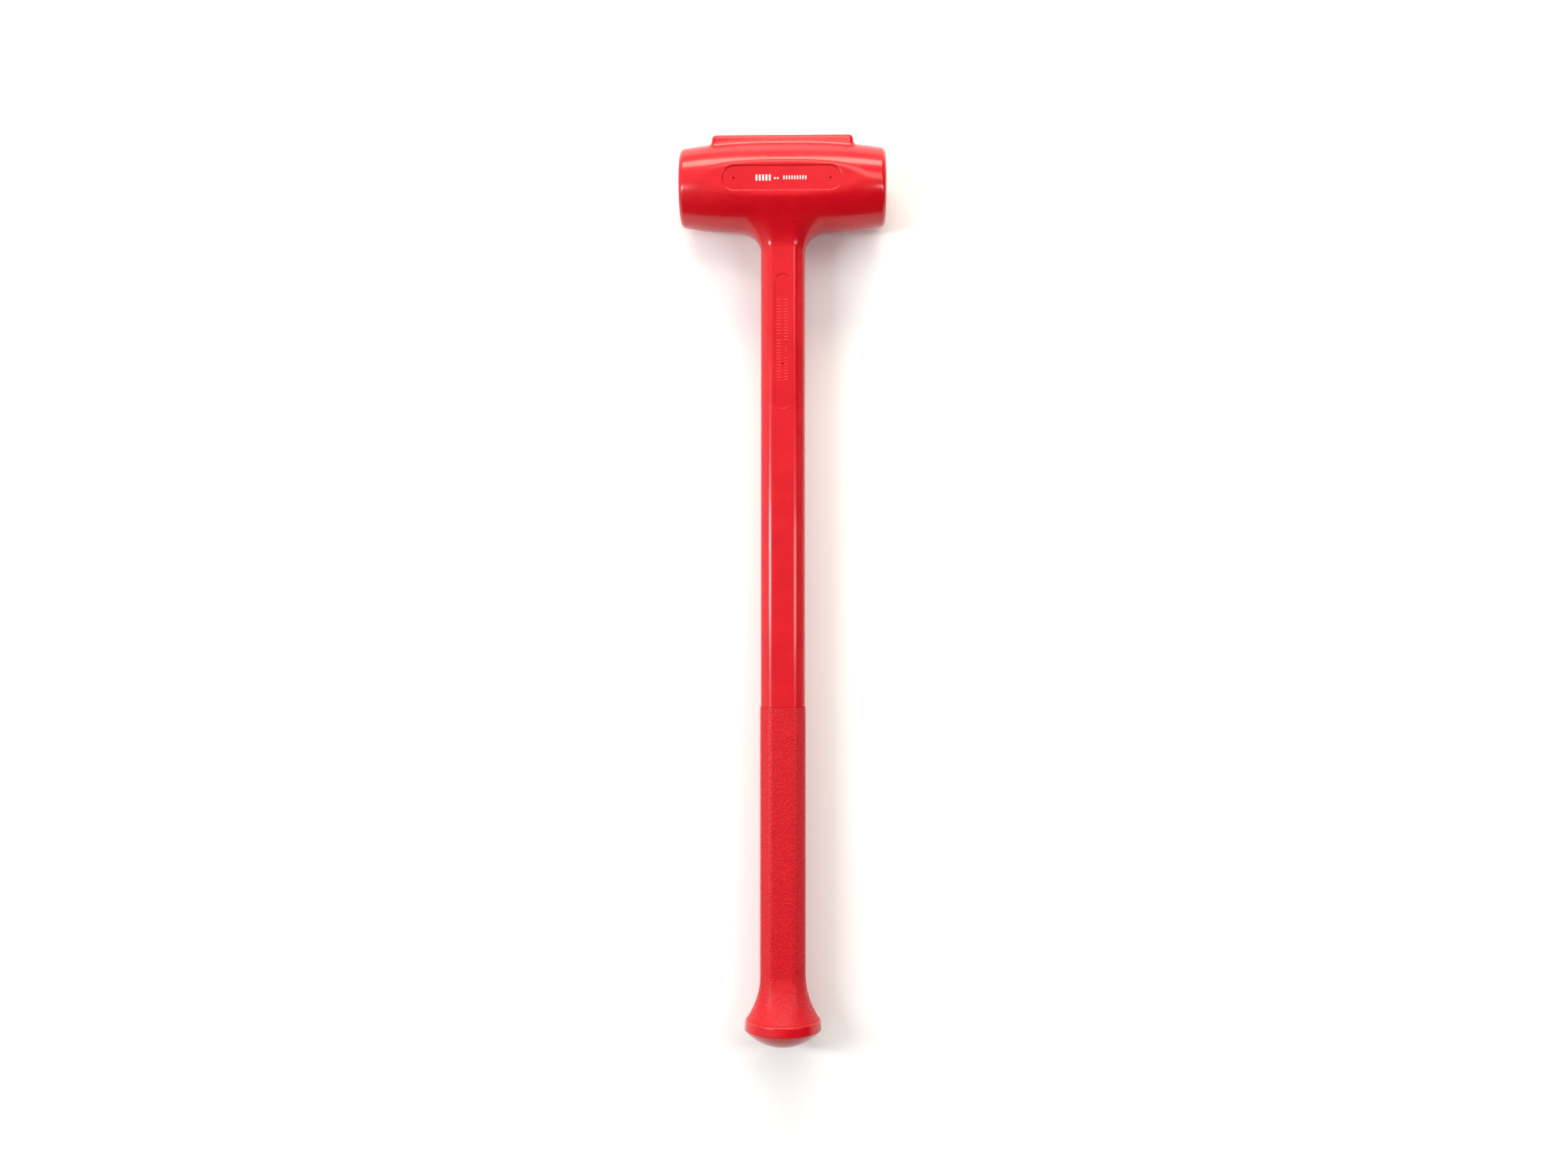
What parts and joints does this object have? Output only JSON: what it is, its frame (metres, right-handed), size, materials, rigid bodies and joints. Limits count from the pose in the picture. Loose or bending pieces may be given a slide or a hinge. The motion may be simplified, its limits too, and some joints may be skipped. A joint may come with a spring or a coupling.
{
  "type": "sledgehammer",
  "caption": "Long-handled dead-blow sledgehammer: crowned barrel head with a flat stand pad, faceted shaft, grained grip and flared pommel, with shot that slides inside the head.",
  "frame": {"origin": "on the supporting surface, below the middle of the hammer's outline, as it lies on the rear flat of its head", "axes": "+X along the striking head, +Y along the handle from pommel to head, +Z out of the front flat of the head"},
  "size_m": [0.2102, 0.9144, 0.0848],
  "materials": {
    "skin": "glossy cast red urethane",
    "grip": "grained red urethane",
    "pipe_steel": "plain drawn steel",
    "plate_steel": "machined steel",
    "shot_steel": "bright steel shot"
  },
  "bodies": {
    "hammer": {"cast_skin": "skin", "grip_sleeve": "grip", "pommel_cap": "skin", "canister_pipe": "pipe_steel", "end_plate_left": "plate_steel", "end_plate_right": "plate_steel", "handle_tube": "pipe_steel", "neck_collar": "plate_steel", "anchor_plug": "plate_steel"},
    "shot": {"shot_charge": "shot_steel"}
  },
  "joints": [
    {"name": "shot_slide", "type": "slide", "parent": "hammer", "child": "shot", "axis": [1, 0, 0], "range_m": [-0.0137, 0.0137]}
  ]
}
